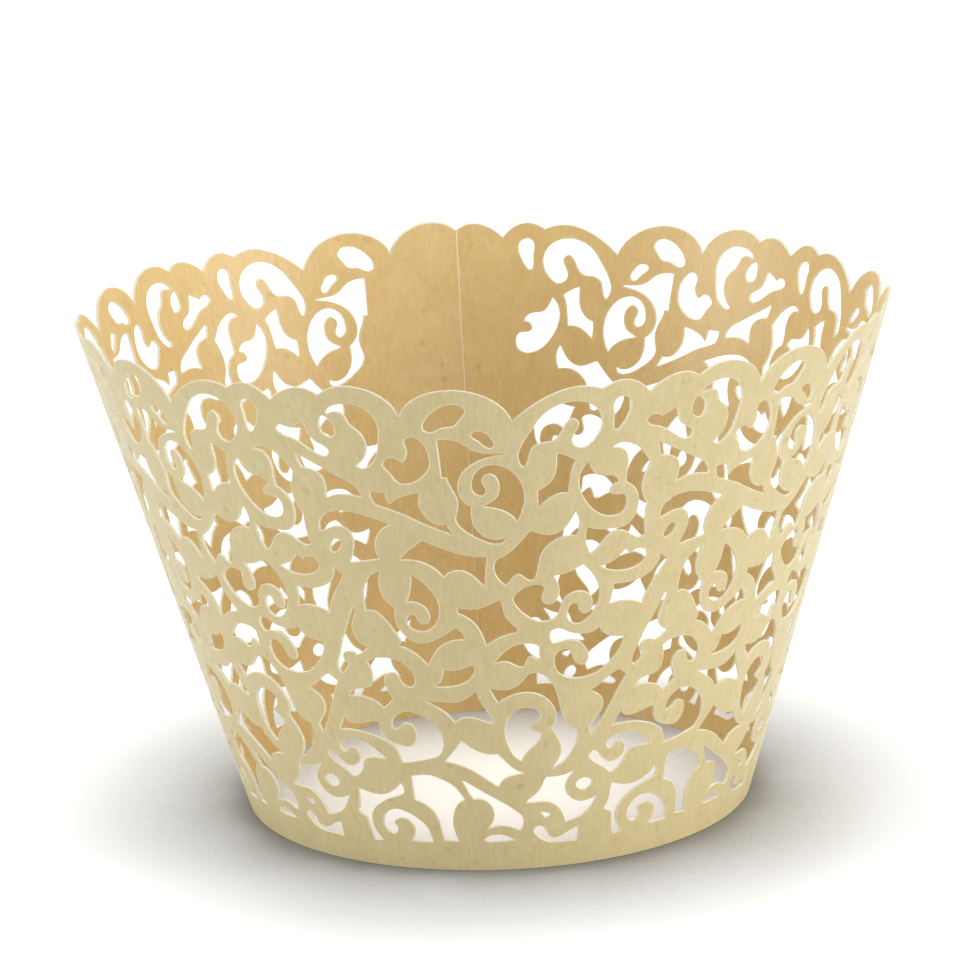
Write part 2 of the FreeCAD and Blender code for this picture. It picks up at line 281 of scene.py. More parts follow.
         (-6.1, 26.65), (-7.1, 26.72), (-7.72, 27.3), (-7.6, 28.15), (-7.05, 28.38),
         (-6.8, 27.85), (-6.4, 27.4), (-5.85, 27.55), (-5.65, 28.3), (-6.1, 29.35),
         (-6.9, 29.75)],
        [(-7.6, 29.72), (-7.2, 30.7), (-6.98, 31.8)],
    ],
    "bulb": [
        [(1.75, 29.85), (2.3, 30.75), (3.3, 31.25), (4.15, 31.2)],
        [(4.48, 30.85), (4.3, 30.2), (4.4, 29.3), (5, 29.08), (5.65, 29.65), (5.8, 30.7)],
        [(5.3, 32.05), (6.6, 32.35)],
        [(7.8, 33), (8.6, 32), (9.25, 30.7), (9.42, 29.4), (9, 28), (8.3, 27.1), (7.5, 26.78),
         (6.75, 27.3), (6.6, 28.1), (7.05, 28.95)],
        [(7.45, 28.9), (7.6, 28.35), (8.1, 27.75), (8.65, 27.95), (8.85, 28.8), (8.6, 29.7),
         (7.8, 30.22), (6.8, 30.1), (6.15, 29.4), (5.9, 28.6)],
        [(5.65, 27.85), (4.9, 27.38), (3.9, 27.45), (2.8, 28.2), (2, 29.2)],
    ],
    "kite": [
        [(10.7, 30.52), (12, 30.52), (13.3, 30.78), (14.3, 31.45)],
        [(14.85, 33.1)],
        [(15.68, 32.3), (14.9, 30.95), (14.1, 29.6)],
        [(13.65, 28.08), (12.9, 28.45), (12, 28.68)],
        [(10.42, 28.45), (10.65, 29.5)],
    ],
    "mouth": [
        [(9.4, 32.62), (10.4, 32.98), (11.1, 33.55)],
        [(11.5, 34.12), (11.7, 33.85)],
        [(12, 33.6), (12.6, 33.95), (13.3, 33.8), (13.55, 33.2), (13, 32.35), (11.8, 31.92),
         (10.4, 32.08)],
    ],
    "fins": [
        [(8.4, 34.08), (8.05, 35), (7.88, 36.1)],
        [(8, 36.85), (9.1, 36.48), (10.3, 36.42), (11.15, 36.5), (11.9, 37.2), (12.25, 38.3),
         (12.15, 39.7), (11.6, 40.7)],
        [(11.05, 41.1), (11.02, 42.3), (11.05, 43.5), (10.65, 44.5)],
        [(9.65, 44.78), (10.4, 45.22), (11.4, 44.85), (12.3, 43.95)],
        [(12.92, 42.85), (12.6, 41.8), (12.42, 40.6), (12.7, 39.2)],
        [(13.05, 38.5), (12.98, 37)],
        [(13.18, 35.35), (12.5, 35.22), (11.6, 35.85), (10.6, 36.22), (9.8, 35.8), (9.1, 34.8)],
    ],
    "butterfly": [
        [(3.2, 36.95), (4, 36.62), (4.9, 36.38), (5.9, 36.8), (6.5, 37.6)],
        [(6.95, 38.55), (7.22, 37.9)],
        [(7.05, 36.1), (5.9, 36.12), (4.9, 35.55), (4.2, 34.6), (3.9, 33.3)],
        [(3.6, 31.88), (2.9, 31.98), (2.2, 32.52), (1.7, 32.15)],
        [(1.12, 31.42), (0.5, 32.2), (0.22, 33.4)],
        [(0.45, 34.15), (1.5, 34.85), (2.5, 35.95)],
    ],
    "bridge": [
        [(-7.7, 34.22), (-7.1, 34.95), (-6.3, 35.7)],
        [(-5.65, 36.28), (-4.7, 35.75), (-3.4, 35.15), (-1.9, 34.62)],
        [(-0.35, 34.48), (-0.55, 33)],
        [(-0.65, 31.4), (-1.5, 32.4), (-2.5, 33.1), (-3.3, 33.05)],
        [(-4.1, 32.45), (-4.9, 33.4), (-5.9, 34.02), (-6.9, 34.22)],
    ],
    "seed": [
        [(-13.75, 34.95), (-13.55, 35.65), (-13.1, 36.1), (-12.72, 35.9), (-12.8, 35.3),
         (-13.2, 34.8), (-13.6, 34.7)],
    ],
    "tee": [
        [(-14.35, 36.88), (-14.25, 37.8), (-13.5, 38.75), (-12.3, 39.08), (-10.7, 38.88),
         (-9.3, 38.4)],
        [(-8.15, 37.88), (-9, 37.3), (-9.6, 36.2), (-9.72, 35.1)],
        [(-9.48, 34.22), (-10.8, 33.98)],
        [(-12.15, 33.7), (-11.65, 35), (-11.5, 36.2), (-11.95, 37.25), (-12.8, 37.48),
         (-13.7, 37.15)],
    ],
    "shoulder": [
        [(-15.2, 44.85), (-14.2, 44.15), (-13, 43.4), (-11.8, 42.6), (-10.9, 42)],
        [(-10.25, 40.65), (-11.4, 40.88), (-12.4, 40.8)],
        [(-13.25, 40.35), (-13.1, 41.6), (-13.35, 42.7), (-14.1, 43.25)],
        [(-14.9, 43.4), (-15.1, 44.1)],
    ],
    "cup": [
        [(-6.62, 44.35), (-6.15, 45), (-6.15, 45.9), (-6.2, 46.5), (-5.7, 46.95),
         (-4.95, 46.4), (-4.5, 45.2), (-4.6, 43.7), (-5.3, 42.7), (-6.4, 42.12),
         (-7.05, 42.25), (-7.6, 43.2), (-8.1, 44), (-7.7, 44.65), (-7.1, 44.75)],
    ],
    "gallery": [
        [(-3.75, 46.6), (-2.8, 46.6), (-1.9, 46.2), (-1.3, 45.6), (-0.5, 45.2), (0.5, 45.1)],
        [(1.35, 45), (0.3, 44.8), (-0.9, 44.3), (-1.9, 43.4), (-2.4, 42.2), (-2.35, 40.9)],
        [(-1.45, 39.7), (-1.5, 38.6), (-1.15, 37.35), (-0.4, 36.5), (0.5, 36.22)],
        [(1.2, 36.45), (0.9, 35.85), (0.1, 35.85), (-1, 36.4), (-2.1, 37.3), (-2.7, 38.3),
         (-2.5, 39.5), (-2.55, 40.8), (-3, 42)],
        [(-3.2, 42.8)],
        [(-3.6, 42.75), (-3.65, 44.5)],
    ],
    "horn": [
        [(-0.55, 39.72), (0.6, 39.45), (1.6, 38.85)],
        [(2.18, 38.02), (2.65, 39.4), (2.75, 40.8), (2.4, 42.2), (1.5, 43.45), (0.2, 43.95),
         (-0.9, 43.3), (-1.3, 42.1), (-1.05, 41.05), (-0.5, 40.85), (-0.25, 41.3),
         (-0.55, 42.2), (-0.3, 42.9), (0.15, 43.05), (0.65, 42.6), (0.85, 41.5), (0.5, 40.45),
         (-0.1, 40)],
    ],
    "arc_window": [
        [(5.3, 44.75), (6.2, 44.3)],
        [(6.75, 43.85), (6.4, 42.6), (6.3, 41.4)],
        [(6.22, 40.65), (5.4, 40.6), (4.6, 40.1)],
        [(3.9, 39.35), (3.85, 40.3)],
        [(3.85, 41.1), (4.7, 41.7), (5.2, 42.7), (5.3, 43.8)],
    ],
    "bud": [
        [(7.78, 43.6), (8.1, 42.75), (8.7, 42.1), (9.6, 41.98), (10.2, 41.6)],
        [(10.35, 41.1), (9.75, 40.75), (9.7, 40.2), (10.3, 39.95), (10.9, 39.85), (11.2, 39),
         (10.9, 38.1), (10, 37.78), (8.9, 38.2), (7.8, 39.5), (7.2, 41), (7.15, 42.3)],
    ],
    "arrow": [
        [(-9.42, 41.2)],
        [(-8.2, 41.2), (-8.15, 40.5)],
        [(-7.95, 39.98), (-7.3, 40.6), (-6.4, 41)],
        [(-5.45, 41.22), (-5.62, 40.2), (-5.3, 38.95), (-4.55, 38.05)],
        [(-3.5, 37.92), (-3.3, 37.4)],
        [(-2.95, 36.8), (-4.2, 37.4), (-5.6, 38.15), (-7.2, 39.1), (-8.5, 39.65)],
        [(-9.15, 39.95), (-9.38, 40.5)],
    ],
    "rim_hook": [
        [(2.72, 43.62), (2.35, 44.4), (2.45, 45.4), (2.9, 46.5), (3.45, 47.5), (4.2, 48.75),
         (5.2, 49.55), (6.4, 49.87), (7.7, 49.45), (8.5, 48.4), (8.65, 47.2), (8.2, 45.95),
         (7.2, 45.15), (6.55, 45.6), (6.65, 46.8), (6.85, 47.8), (6.4, 48.17), (5.9, 47.75),
         (5.5, 46.75), (4.9, 46.05), (4.1, 45.95), (3.35, 45.5), (3.1, 44.6)],
    ],
    "rim_drop": [
        [(9.85, 46.6), (9.6, 47.4), (9.6, 48.4), (9.55, 49.3), (9.95, 49.87), (10.6, 49.7),
         (10.88, 49), (10.65, 47.9), (10.25, 47)],
    ],
    "rim_v": [
        [(12.3, 47.15), (12.7, 47.65), (13.2, 47.6)],
        [(13.5, 47.35), (14, 47.7)],
        [(14.68, 48.12), (14.85, 47.3), (15.3, 46.3), (16, 45.8), (16.38, 45.3), (16.1, 44.75),
         (15.5, 44.85), (14.6, 45.55), (13.5, 46.35), (12.7, 46.65)],
    ],
    "rim_bead": [
        [(16.35, 48.85), (16.95, 48.4), (17.2, 47.5), (16.9, 46.75), (16.3, 46.95),
         (16.05, 47.9)],
    ],
    "rim_leaf": [
        [(18.5, 43.85), (18.9, 43.62), (19.7, 44.1), (20.25, 45.2), (20.5, 46.6),
         (20.62, 47.8), (20.2, 49.2), (19.2, 50.05), (17.9, 50.1), (16.95, 49.6)],
        [(16.75, 48.95), (17.4, 49.35), (18.05, 49.15), (18.4, 48.2), (19, 47.5),
         (19.45, 46.7), (19.5, 45.5), (19.1, 44.5)],
    ],
    "rim_comma": [
        [(24.1, 47.55), (24.05, 48.2), (24.6, 49.2), (25.6, 50), (26.6, 50.12), (27.15, 49.5),
         (26.8, 48.7), (26.2, 47.95), (25.4, 47.85), (24.7, 47.42)],
    ],
    "rim_seed": [
        [(27.55, 47.1), (28, 47.4), (28.6, 47.2), (29, 46.6), (29.2, 46), (28.95, 45.65),
         (28.5, 45.9), (28.1, 46.4), (27.65, 46.8)],
    ],
}


# ---- smooth lines through the drawn points ----
def second_slopes(t, values, closed):
    """The second derivatives of a cubic spline through values at t."""
    n = len(t)
    h = np.diff(t)
    rows = np.zeros((n, n))
    right = np.zeros((n, values.shape[1]))
    for i in range(1, n - 1):
        rows[i, i - 1] = h[i - 1]
        rows[i, i] = 2 * (h[i - 1] + h[i])
        rows[i, i + 1] = h[i]
        before = (values[i] - values[i - 1]) / h[i - 1]
        after = (values[i + 1] - values[i]) / h[i]
        right[i] = 6 * (after - before)
    if closed:
        rows[0, 0] = 1
        rows[0, n - 1] = -1
        rows[n - 1, 0] = 2 * h[0]
        rows[n - 1, 1] = h[0]
        rows[n - 1, n - 2] = h[-1]
        rows[n - 1, n - 1] = 2 * h[-1]
        before = (values[n - 1] - values[n - 2]) / h[-1]
        after = (values[1] - values[0]) / h[0]
        right[n - 1] = 6 * (after - before)
    else:
        rows[0, :3] = [h[1], -(h[0] + h[1]), h[0]]
        rows[n - 1, n - 3:] = [h[-1], -(h[-2] + h[-1]), h[-2]]
    return np.linalg.solve(rows, right)


def sampled(points, closed=False):
    """Points along a smooth line through the given ones, closer where it bends.

    The last of the given points is left out.
    """
    p = np.array(points, dtype=float)
    if closed:
        p = np.vstack([p, p[:1]])

    # t is the length along the points, and m the spline's second slopes.
    t = np.concatenate([[0], np.cumsum(np.linalg.norm(np.diff(p, axis=0), axis=1))])
    if len(p) == 2:
        m = np.zeros_like(p)
    elif len(p) == 3 and not closed:
        a = (p[1] - p[0]) / (t[1] - t[0])
        b = (p[2] - p[1]) / (t[2] - t[1])
        m = np.tile(2 * (b - a) / (t[2] - t[0]), (3, 1))
    else:
        m = second_slopes(t, p, closed)
    out = []
    for i in range(len(p) - 1):
        h = t[i + 1] - t[i]
        near = (p[i + 1] - p[i]) / h - h * (2 * m[i] + m[i + 1]) / 6
        far = (p[i + 1] - p[i]) / h + h * (m[i] + 2 * m[i + 1]) / 6
        turn = abs(math.atan2(near[0] * far[1] - near[1] * far[0], float(near @ far)))
        steps = max(1, math.ceil(h / LINE_STEP), math.ceil(turn / TURN_STEP))
        for k in range(steps):
            # u from the start of the span and w from its end
            u = k * h / steps
            w = h - u
            out.append(
                (m[i] * w**3 + m[i + 1] * u**3) / (6 * h)
                + (p[i] / h - m[i] * h / 6) * w
                + (p[i + 1] / h - m[i + 1] * h / 6) * u
            )
    return out


def straight(a, b, step):
    """Points from a to b, b left out."""
    count = max(1, round(math.dist(a, b) / step))
    return [np.array(a) + (np.array(b) - np.array(a)) * k / count for k in range(count)]


def area_of(points):
    """The area inside a ring of points, above 0 where it runs anticlockwise."""
    x, y = np.array(points).T
    return float(x @ np.roll(y, -1) - y @ np.roll(x, -1)) / 2


# ---- the outlines of the flat strip ----
def gap_outline(sides):
    """A gap's outline, smooth along each side."""
    if len(sides) == 1:
        return sampled(sides[0], closed=True)
    out = []
    for side, following in zip(sides, sides[1:] + sides[:1]):
        out += sampled(side + [following[0]])
    return out


def lace_outlines(left, right):
    """The outlines, run clockwise, of the gaps that lie wholly between two x values."""
    out = []
    for repeat in range(-REPEATS, REPEATS):
        shift = repeat * REPEAT_WIDTH
        for sides in GAPS.values():
            across = [x + shift for side in sides for x, y in side]
            if left < min(across) and max(across) < right:
                gap = [p + np.array([shift, 0]) for p in gap_outline(sides)]
                out.append(gap[::-1] if area_of(gap) > 0 else gap)
    return out


def top_edge(first, last):
    """The top edge from left to right between two of its valleys."""
    valleys = [line[0] for line in SCALLOPS.values()]
    ends = valleys[1:] + [(valleys[0][0] + REPEAT_WIDTH, valleys[0][1])]
    out = []
    for repeat in range(-REPEATS, REPEATS):
        for line, end in zip(SCALLOPS.values(), ends):
            run = [(x + repeat * REPEAT_WIDTH, y) for x, y in line + [end]]
            if first < (run[0][0] + run[-1][0]) / 2 < last:
                out += sampled(run)
                final = run[-1]
    return out + [np.array(final)]


def strip_outline(first, last):
    """The strip's own outline, run anticlockwise from the start of its foot."""
    top = top_edge(first, last)
    out = straight((first, 0), (last, 0), FOOT_STEP)
    out += straight((last, 0), top[-1], END_STEP)
    out += top[::-1][:-1]
    out += straight(top[0], (first, 0), END_STEP)
    return out


def valley_at_back(name):
    """The x of the valley where a scallop starts, at the back of the wrapper."""
    return SCALLOPS[name][0][0] + REPEATS // 2 * REPEAT_WIDTH


# ---- the triangles of the flat strip ----
def inner_points(outlines, first, last):
    """Points within the strip that keep its triangles small, so that it bends as a cone."""
    by_cell = {}
    for p in outlines:
        by_cell.setdefault((int(p[0] // GRID), int(p[1] // GRID)), []).append(p)
    out = []
    for column in range(int(first // GRID), int(last // GRID) + 1):
        for row in range(1, int(GRID_TOP // GRID) + 1):
            p = np.array([(column + (row % 2) / 2) * GRID, row * GRID])
            if not first + END_CLEARANCE < p[0] < last - END_CLEARANCE:
                continue
            across = int(p[0] // GRID)
            up = int(p[1] // GRID)
            near = [
                q
                for dx in (-1, 0, 1)
                for dy in (-1, 0, 1)
                for q in by_cell.get((across + dx, up + dy), [])
            ]
            if not near or min(np.linalg.norm(np.array(near) - p, axis=1)) >= LINE_CLEARANCE:
                out.append(tuple(p))
    return out


def card_triangles(coords, triangles, edges):
    """The triangles of card, which lies to the left of every edge of the outlines."""
    triangles = [f if area_of(coords[list(f)]) > 0 else f[::-1] for f in triangles]
    owner = {}
    for number, (a, b, c) in enumerate(triangles):
        owner[a, b] = owner[b, c] = owner[c, a] = number
    closed = set(edges) | {(b, a) for a, b in edges}
    waiting = [owner[edge] for edge in edges]
    kept = set(waiting)
    while waiting:
        a, b, c = triangles[waiting.pop()]
        for edge in ((b, a), (c, b), (a, c)):
            other = owner.get(edge)
            if other is not None and other not in kept and edge not in closed:
                kept.add(other)
                waiting.append(other)
    return np.array([triangles[number] for number in sorted(kept)])


def flat_card():
    """The flat strip's points and triangles, and the x where its step and its lap start."""
    step_start = valley_at_back(STEP_SCALLOP)
    lap_start = valley_at_back(LAP_SCALLOP)
    lap_end = valley_at_back(BESIDE_LAP)
    full_turn = REPEATS * REPEAT_WIDTH
    under_start = lap_start - full_turn
    under_end = lap_end - full_turn

    outlines = [strip_outline(under_start, lap_end)]
    outlines += lace_outlines(under_end + PLAIN_MARGIN, step_start - PLAIN_MARGIN)
    points = [tuple(p) for line in outlines for p in line]
    edges = []
    start = 0
    for line in outlines:
        n = len(line)
        edges += [(start + k, start + (k + 1) % n) for k in range(n)]
        start += n
    points += inner_points(np.array(points), under_start, lap_end)

    coords, _, triangles, _, _, _ = delaunay_2d_cdt(
        [Vector(p) for p in points], edges, [], TRIANGLES_INSIDE, SAME_POINT
    )
    if len(coords) != len(points):
        raise RuntimeError("outlines of the lace touch or cross")
    coords = np.array([(p.x, p.y) for p in coords])
    card = card_triangles(coords, [tuple(f) for f in triangles], edges)
    return coords, card, step_start, lap_start


# ---- the bent strip ----
def lift_of(coords, step_start, lap_start):
    """How far each point stands out to lie over the other end, in an S-shaped step."""
    share = np.clip((coords[:, 0] - step_start) / (lap_start - step_start), 0, 1)
    return (CARD + GLUE_GAP) * share * share * (3 - 2 * share)


def bent(coords, lift, offset):
    """Flat points bent onto the cone, moved out across the card."""
    turn = coords[:, 0] * TURN_PER_X
    height = coords[:, 1] * SLOPE_SCALE * math.cos(LEAN)
    radius = BASE_RADIUS + height * math.tan(LEAN) + (lift + offset) / math.cos(LEAN)
    return np.stack([radius * np.sin(turn), -radius * np.cos(turn), height], axis=1) * MM


def outward_of(coords):
    """The normals of the outer face."""
    turn = coords[:, 0] * TURN_PER_X
    down = np.full(len(coords), -math.sin(LEAN))
    across = math.cos(LEAN)
    return np.stack([across * np.sin(turn), -across * np.cos(turn), down], axis=1)


def unit(vector):
    """The vector at length 1."""
    return vector / np.linalg.norm(vector)


def border_of(triangles):
    """The edges that have card on one side only, which is their left."""
    directed = np.concatenate([triangles[:, [0, 1]], triangles[:, [1, 2]], triangles[:, [2, 0]]])
    known = set(map(tuple, directed))
    return sorted((a, b) for a, b in known if (b, a) not in known)


def inset_of(coords, border):
    """The points, with those of the border moved in by a shoulder, and the border's numbers."""
    inward = np.zeros_like(coords)
    for a, b in border:
        along = unit(coords[b] - coords[a])
        inward[a] += (-along[1], along[0])
        inward[b] += (-along[1], along[0])
    size = np.linalg.norm(inward, axis=1)
    moved = size > 0
    inset = coords.copy()
    inset[moved] += inward[moved] / size[moved, None] * SHOULDER_WIDTH
    return inset, np.flatnonzero(moved)


def wall_normals(line, outward, border):
    """The cut wall's normals at both ends of each border edge.

    The wall is smooth along a curve and sharp at a corner.
    """
    own = {}
    at_start = {}
    at_end = {}
    for a, b in border:
        own[a, b] = unit(np.cross(line[b] - line[a], outward[a]))
        at_start[a] = (a, b)
        at_end[b] = (a, b)
    out = {}
    for a, b in border:
        out[a, b] = {}
        for end, other in ((a, at_end.get(a)), (b, at_start.get(b))):
            smooth = other is not None and float(own[a, b] @ own[other]) > math.cos(SMOOTH_WALL)
            out[a, b][end] = unit(own[a, b] + own[other]) if smooth else own[a, b]
    return out


def wrapper_mesh():
    """Both faces of the card, the cut walls and the small shoulders between them."""
    coords, triangles, step_start, lap_start = flat_card()
    lift = lift_of(coords, step_start, lap_start)
    border = border_of(triangles)
    inset, rim = inset_of(coords, border)
    every = np.arange(len(coords))

    # From the outer face to the inner one: the points kept, their flat places
    # and how far out they lie.
    layers = [
        (every, inset, 0),
        (rim, coords, -SHOULDER_DEPTH),
        (rim, coords, SHOULDER_DEPTH - CARD),
        (every, inset, -CARD),
    ]
    points = []
    place = []
    corner = []
    for kept, drawn, offset in layers:
        numbers = np.zeros(len(coords), dtype=int)
        numbers[kept] = np.arange(len(kept)) + len(points)
        corner.append(numbers)
        points += bent(drawn[kept], lift[kept], offset).tolist()
        place += (drawn[kept] * MM).tolist()
    outer, outer_line, _, inner = corner

    # The faces' normals follow the cone, and the shoulders turn to the wall's.
    outward = outward_of(coords)
    backward = -outward
    walls = wall_normals(np.array(points)[outer_line], outward, border)
    faces = [outer[f] for f in triangles]
    normals = [outward[k] for f in triangles for k in f]
    faces += [inner[f[::-1]] for f in triangles]
    normals += [backward[k] for f in triangles for k in f[::-1]]
    for a, b in border:
        wall = walls[a, b]
        turned = [outward, wall, wall, backward]
        for near in range(3):
            far = near + 1
            faces.append((corner[near][b], corner[near][a], corner[far][a], corner[far][b]))
            normals += [turned[near][b], turned[near][a], turned[far][a], turned[far][b]]

    mesh = bpy.data.meshes.new("lace_card")
    mesh.from_pydata(points, [], [list(map(int, f)) for f in faces])
    mesh.update()
    slots = [OUTSIDE] * len(triangles) + [INSIDE] * len(triangles) + [CUT] * (3 * len(border))
    for slot, polygon in zip(slots, mesh.polygons):
        polygon.use_smooth = True
        polygon.material_index = slot
    mesh.normals_split_custom_set([tuple(v) for v in normals])

    # Flat coordinates of the card, in metres, for its fibres and mottling.
    flat = mesh.uv_layers.new(name="flat")
    uv = np.array([place[v.vertex_index] for v in mesh.loops])
    flat.data.foreach_set("uv", uv.ravel())
    return mesh


# ---- materials ----
# Their slots on the mesh.
OUTSIDE, CUT, INSIDE = range(3)

# Sockets of a Mix node for colours, and of one for plain numbers.
COLOUR_A, COLOUR_B, COLOUR_RESULT = 6, 7, 2
FLOAT_A, FLOAT_B, FLOAT_RESULT = 2, 3, 0


def linear(red, green, blue):
    """A colour given as it shows on a screen, 0 to 255."""
    out = []
    for value in (red, green, blue):
        c = value / 255
        out.append(c / 12.92 if c <= 0.04045 else ((c + 0.055) / 1.055) ** 2.4)
    return tuple(out) + (1.0,)


def grey(value):
    """A grey of that strength."""
    return (value, value, value, 1.0)


def add(nodes, kind, **settings):
    """A new shader node with these settings."""
    node = nodes.new(kind)
    for name, value in settings.items():
        setattr(node, name, value)
    return node


def noise(tree, scale, stretch, detail, rough):
    """Noise on the flat card, with scale for a metre, drawn out up the slope below stretch 1."""
    place = add(tree.nodes, "ShaderNodeUVMap", uv_map="flat")
    mapping = add(tree.nodes, "ShaderNodeMapping")
    mapping.inputs["Scale"].default_value = (1, stretch, 1)
    tree.links.new(place.outputs["UV"], mapping.inputs["Vector"])
    tex = add(tree.nodes, "ShaderNodeTexNoise", noise_dimensions="2D")
    tex.inputs["Scale"].default_value = scale
    tex.inputs["Detail"].default_value = detail
    tex.inputs["Roughness"].default_value = rough
    tree.links.new(mapping.outputs["Vector"], tex.inputs["Vector"])
    return tex.outputs["Fac"]


def spread(tree, fac, low, high, dark, light):
    """Turns a texture value between low and high into a colour between dark and light."""
    ramp = add(tree.nodes, "ShaderNodeValToRGB")
    ramp.color_ramp.elements[0].position = low
    ramp.color_ramp.elements[0].color = dark
    ramp.color_ramp.elements[1].position = high
    ramp.color_ramp.elements[1].color = light
    tree.links.new(fac, ramp.inputs["Fac"])
    return ramp.outputs["Color"]


def tint(tree, first, second):
    """One colour multiplied by another."""
    mix = add(tree.nodes, "ShaderNodeMix", data_type="RGBA", blend_type="MULTIPLY")
    mix.inputs["Factor"].default_value = 1.0
    tree.links.new(first, mix.inputs[COLOUR_A])
    tree.links.new(second, mix.inputs[COLOUR_B])
    return mix.outputs[COLOUR_RESULT]


def card_material(name, dark, light):
    """Pearl card: fine fibres, a little mottling and a soft pearl gloss."""
    mat = bpy.data.materials.new(name)
    mat.use_nodes = True
    tree = mat.node_tree
    shader = tree.nodes["Principled BSDF"]
    mottle = noise(tree, scale=420, stretch=0.6, detail=3.0, rough=0.6)
    fibres = noise(tree, scale=2600, stretch=0.28, detail=4.0, rough=0.65)
    grain = noise(tree, scale=9000, stretch=1.0, detail=2.0, rough=0.6)
    specks = noise(tree, scale=700, stretch=1.0, detail=1.0, rough=0.4)
    speck_tint = (0.90, 0.85, 0.74, 1)
    colour = spread(tree, mottle, 0.3, 0.7, dark, light)
    colour = tint(tree, colour, spread(tree, fibres, 0.3, 0.7, grey(0.93), grey(1.03)))
    colour = tint(tree, colour, spread(tree, specks, 0.16, 0.27, speck_tint, grey(1.0)))
    tree.links.new(colour, shader.inputs["Base Color"])
    gloss = spread(tree, grain, 0.35, 0.65, grey(0.40), grey(0.55))
    tree.links.new(gloss, shader.inputs["Roughness"])
    shader.inputs["Metallic"].default_value = 0.0
    shader.inputs["Coat Weight"].default_value = 0.18
    shader.inputs["Coat Roughness"].default_value = 0.32
    bump = add(tree.nodes, "ShaderNodeBump")
    bump.inputs["Strength"].default_value = 0.35
    bump.inputs["Distance"].default_value = 0.00003
    tree.links.new(fibres, bump.inputs["Height"])
    tree.links.new(bump.outputs["Normal"], shader.inputs["Normal"])
    return mat


def edge_material():
    """The cut edge: bare pulp and matt, paler than the faces partly by its own colour and partly
    as a painted highlight along the cut.
    """
    mat = bpy.data.materials.new("cut_edge")
    mat.use_nodes = True
    tree = mat.node_tree
    shader = tree.nodes["Principled BSDF"]
    pulp = noise(tree, scale=3500, stretch=1.0, detail=3.0, rough=0.6)
    # Pale cream: partly the pulp's own colour, partly a painted highlight along the cut.
    colour = spread(tree, pulp, 0.3, 0.7, linear(236, 225, 192), linear(250, 244, 222))
    tree.links.new(colour, shader.inputs["Base Color"])
    shader.inputs["Roughness"].default_value = 0.75
    return mat


lace_mesh = wrapper_mesh()
lace = bpy.data.objects.new("lace", lace_mesh)
bpy.context.scene.collection.objects.link(lace)
for material in (
    card_material("ivory_pearl", linear(215, 197, 145), linear(220, 203, 154)),
    edge_material(),
    # The inner face is darker and warmer than the outer face: partly the card's own back, partly
    # painted shade and warm bounce light.
    card_material("inside_tan_painted_shade", linear(220, 187, 122), linear(226, 196, 132)),
):
    lace_mesh.materials.append(material)
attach(lace, "root")
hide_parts("wrapper")

# ---- floor, world, lamps and camera, metres ----
# The height of the wrapper's middle, which the lamps and the camera turn round.
MIDDLE = 0.025

# The floor lights the wrapper with FLOOR_GREY and shows as FLOOR_SEEN, darker
# within SHADE_REACH of the wrapper.
FLOOR_REACH = 3
FLOOR_GREY = 0.75
FLOOR_SEEN = (1.37, 1.40, 1.45)
SHADE_REACH = 0.024
SHADE_POWER = 1.5

# Heights of a direction, where straight up is 1: walls below, ceiling above.
WALL_TOP = 0.1
CEILING = 0.7
WALL_LIGHT = 0.7
CEILING_LIGHT = 0.1

# The camera's lens and sensor, mm, and its place.
LENS = 149.23
SENSOR = 36
ELEVATION = math.radians(15.217)
ROLL = math.radians(-2.2025)
DISTANCE = 0.39218
AIM = (-0.00083, 0.00161, 0.03112)


def seen(tree):
    """1 for the rays that show a thing, and 0 for those that light by it."""
    path = add(tree.nodes, "ShaderNodeLightPath")
    total = path.outputs["Is Camera Ray"]
    for kind in ("Is Glossy Ray", "Is Transmission Ray"):
        most = add(tree.nodes, "ShaderNodeMath", operation="MAXIMUM")
        tree.links.new(total, most.inputs[0])
        tree.links.new(path.outputs[kind], most.inputs[1])
        total = most.outputs[0]
    return total


def floor_material():
    """White where nothing shades it and darker close by the wrapper.

    It lights the wrapper as a plain pale floor.
    """
    mat = bpy.data.materials.new("floor")
    mat.use_nodes = True
    tree = mat.node_tree
    near = add(tree.nodes, "ShaderNodeAmbientOcclusion", samples=8)
    near.inputs["Distance"].default_value = SHADE_REACH
    deeper = add(tree.nodes, "ShaderNodeMath", operation="POWER")
    deeper.inputs[1].default_value = SHADE_POWER
    tree.links.new(near.outputs["AO"], deeper.inputs[0])
    white = add(tree.nodes, "ShaderNodeVectorMath", operation="SCALE")
    white.inputs["Vector"].default_value = FLOOR_SEEN
    tree.links.new(deeper.outputs[0], white.inputs["Scale"])
    shown = add(tree.nodes, "ShaderNodeMix", data_type="RGBA")
    tree.links.new(seen(tree), shown.inputs["Factor"])
    shown.inputs[COLOUR_A].default_value = grey(FLOOR_GREY)
    tree.links.new(white.outputs[0], shown.inputs[COLOUR_B])
    matt = add(tree.nodes, "ShaderNodeBsdfDiffuse")
    tree.links.new(shown.outputs[COLOUR_RESULT], matt.inputs["Color"])
    tree.links.new(matt.outputs["BSDF"], tree.nodes["Material Output"].inputs["Surface"])
    return mat


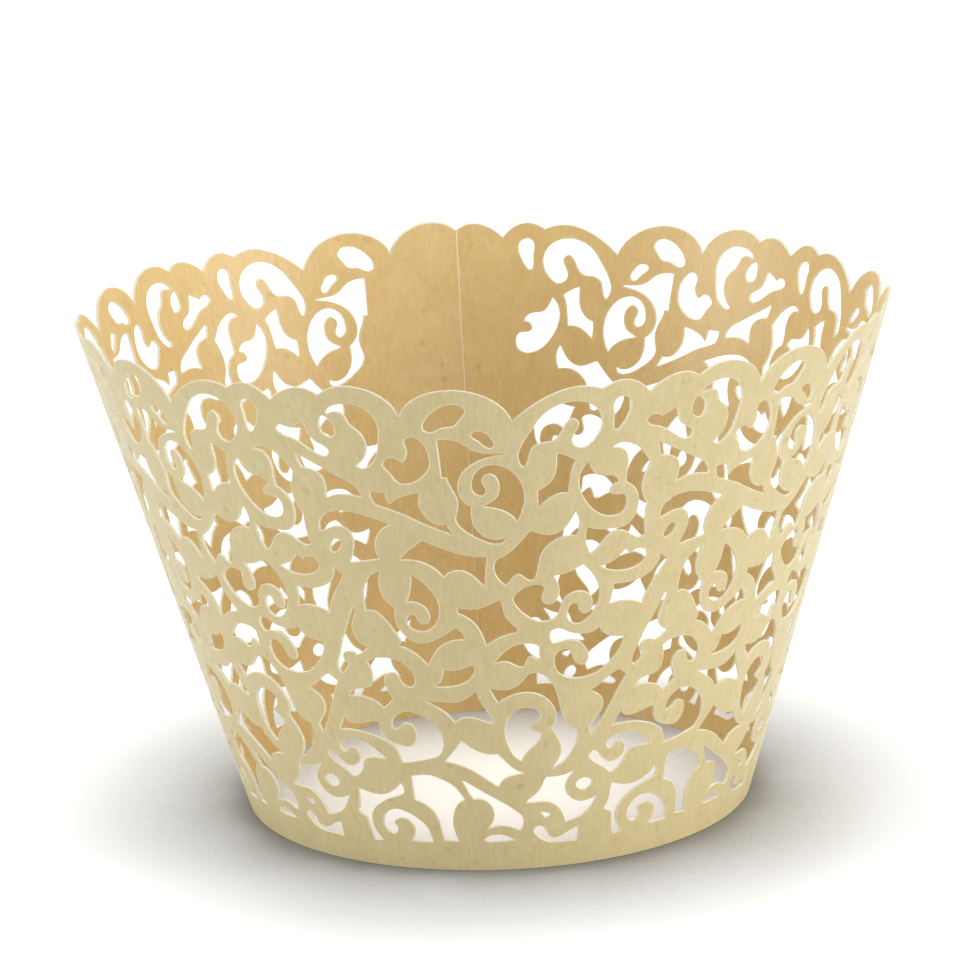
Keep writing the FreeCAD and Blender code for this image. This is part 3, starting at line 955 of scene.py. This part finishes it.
def white_studio():
    """White walls all round and a darker ceiling, white all over where it is seen."""
    world = bpy.data.worlds.new("studio")
    world.use_nodes = True
    tree = world.node_tree
    background = tree.nodes["Background"]
    background.inputs["Color"].default_value = (1, 1, 1, 1)
    place = add(tree.nodes, "ShaderNodeTexCoord")
    direction = add(tree.nodes, "ShaderNodeSeparateXYZ")
    tree.links.new(place.outputs["Generated"], direction.inputs["Vector"])
    walls = add(tree.nodes, "ShaderNodeMapRange")
    walls.inputs["From Min"].default_value = WALL_TOP
    walls.inputs["From Max"].default_value = CEILING
    walls.inputs["To Min"].default_value = WALL_LIGHT
    walls.inputs["To Max"].default_value = CEILING_LIGHT
    tree.links.new(direction.outputs["Z"], walls.inputs["Value"])
    shown = add(tree.nodes, "ShaderNodeMix", data_type="FLOAT")
    tree.links.new(seen(tree), shown.inputs["Factor"])
    tree.links.new(walls.outputs["Result"], shown.inputs[FLOAT_A])
    shown.inputs[FLOAT_B].default_value = 1.0
    tree.links.new(shown.outputs[FLOAT_RESULT], background.inputs["Strength"])
    return world


def area_light(name, place, size, power, colour=(1, 1, 1)):
    """A square lamp that faces the middle of the wrapper."""
    data = bpy.data.lights.new(name, "AREA")
    data.energy = power
    data.size = size
    data.color = colour
    lamp = bpy.data.objects.new(name, data)
    bpy.context.scene.collection.objects.link(lamp)
    lamp.location = place
    facing = Vector((0, 0, MIDDLE)) - Vector(place)
    lamp.rotation_euler = facing.to_track_quat("-Z", "Y").to_euler()


def front_camera():
    """A long lens before the wrapper and a little above it."""
    data = bpy.data.cameras.new("camera")
    data.sensor_width = SENSOR
    data.lens = LENS
    camera = bpy.data.objects.new("camera", data)
    bpy.context.scene.collection.objects.link(camera)
    back = DISTANCE * math.cos(ELEVATION)
    camera.location = (0, -back, MIDDLE + DISTANCE * math.sin(ELEVATION))
    look = (Vector(AIM) - camera.location).to_track_quat("-Z", "Y")
    camera.rotation_euler = (look.to_matrix() @ Matrix.Rotation(ROLL, 3, "Z")).to_euler()
    return camera


floor_mesh = bpy.data.meshes.new("floor")
square = [(x * FLOOR_REACH, y * FLOOR_REACH, 0) for x, y in ((-1, -1), (1, -1), (1, 1), (-1, 1))]
floor_mesh.from_pydata(square, [], [(0, 1, 2, 3)])
floor_mesh.materials.append(floor_material())
floor = bpy.data.objects.new("floor", floor_mesh)
bpy.context.scene.collection.objects.link(floor)

bpy.context.scene.world = white_studio()
area_light("top", place=(0.05, 0.1, 0.9), size=0.8, power=3.8)
area_light("front", place=(0.45, -1.13, 0.25), size=0.5, power=3.2)
area_light("right", place=(1.08, -0.27, 0.3), size=0.5, power=5.7, colour=(1.0, 0.99, 0.96))
area_light("left", place=(-1.1, -0.12, 0.4), size=0.5, power=5.4, colour=(0.94, 0.98, 1.0))
area_light("back", place=(-0.2, 1.15, 0.4), size=0.6, power=4.8)
bpy.context.scene.camera = front_camera()
bpy.context.scene.view_settings.view_transform = "Standard"
